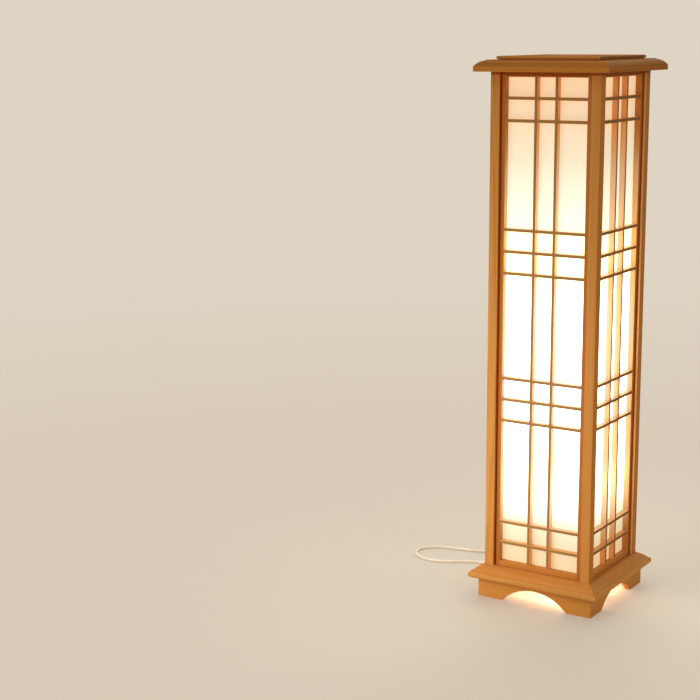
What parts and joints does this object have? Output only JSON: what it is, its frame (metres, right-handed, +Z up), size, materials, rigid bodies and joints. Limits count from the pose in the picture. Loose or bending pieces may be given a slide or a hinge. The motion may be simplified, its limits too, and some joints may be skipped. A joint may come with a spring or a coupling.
{
  "type": "andon floor lamp",
  "caption": "Tall square wooden andon floor lamp with lattice panels over glowing diffusers, an arched base and a lid that lifts off.",
  "frame": {"origin": "on the floor under the middle of the lantern", "axes": "+Z up, -Y out of the front panel, +X out of the right-hand panel"},
  "size_m": [0.4387, 0.36, 0.926],
  "materials": {
    "pine": "clear satin lacquer over honey-coloured softwood, fine straight grain",
    "diffuser": "translucent warm white sheet, lit from behind",
    "zinc_steel": "zinc plated",
    "black_plastic": "moulded, satin",
    "cap_metal": "drawn",
    "bulb_glass": "frosted, lit",
    "clear_cord": "clear PVC over pale conductors",
    "pale_plastic": "ivory moulding",
    "brass": "plain"
  },
  "bodies": {
    "lantern": {"apron_back": "pine", "apron_front": "pine", "apron_left": "pine", "apron_right": "pine", "back_diffuser": "diffuser", "back_lattice_bars": "pine", "back_lattice_uprights": "pine", "back_panel_rails": "pine", "back_panel_stiles": "pine", "base_cross_rail": "pine", "base_moulding_back": "pine", "base_moulding_front": "pine", "base_moulding_left": "pine", "base_moulding_right": "pine", "bracket_screws": "zinc_steel", "bulb_caps": "cap_metal", "bulb_globes": "bulb_glass", "cord_coil": "clear_cord", "cord_coil_to_plug": "clear_cord", "cord_gland": "clear_cord", "cord_lamp_to_switch": "clear_cord", "cord_switch_to_coil": "clear_cord", "front_diffuser": "diffuser", "front_lattice_bars": "pine", "front_lattice_uprights": "pine", "front_panel_rails": "pine", "front_panel_stiles": "pine", "holder_brackets": "zinc_steel", "inner_flex": "clear_cord", "lamp_column": "pine", "lampholder_lower": "black_plastic", "lampholder_upper": "black_plastic", "left_diffuser": "diffuser", "left_lattice_bars": "pine", "left_lattice_uprights": "pine", "left_panel_rails": "pine", "left_panel_stiles": "pine", "plug_body": "pale_plastic", "plug_pins": "brass", "post_back_left": "pine", "post_back_right": "pine", "post_front_left": "pine", "post_front_right": "pine", "rail_screws": "zinc_steel", "right_diffuser": "diffuser", "right_lattice_bars": "pine", "right_lattice_uprights": "pine", "right_panel_rails": "pine", "right_panel_stiles": "pine", "switch_body": "pale_plastic", "terminal_box": "black_plastic"},
    "lid": {"lid_cleats": "pine", "lid_diffuser": "diffuser", "lid_lattice": "pine", "lid_moulding_back": "pine", "lid_moulding_front": "pine", "lid_moulding_left": "pine", "lid_moulding_right": "pine", "lid_top_frame": "pine"},
    "switch_rocker": {"switch_rocker": "pale_plastic"}
  },
  "joints": [
    {"name": "lid_lift", "type": "slide", "parent": "lantern", "child": "lid", "axis": [0, 0, 1], "range_m": [0, 0.1]},
    {"name": "switch_press", "type": "hinge", "parent": "lantern", "child": "switch_rocker", "pos_m": [-0.109, 0.124, 0.013], "axis": [0, 1, 0], "range_deg": [0, 18]}
  ]
}
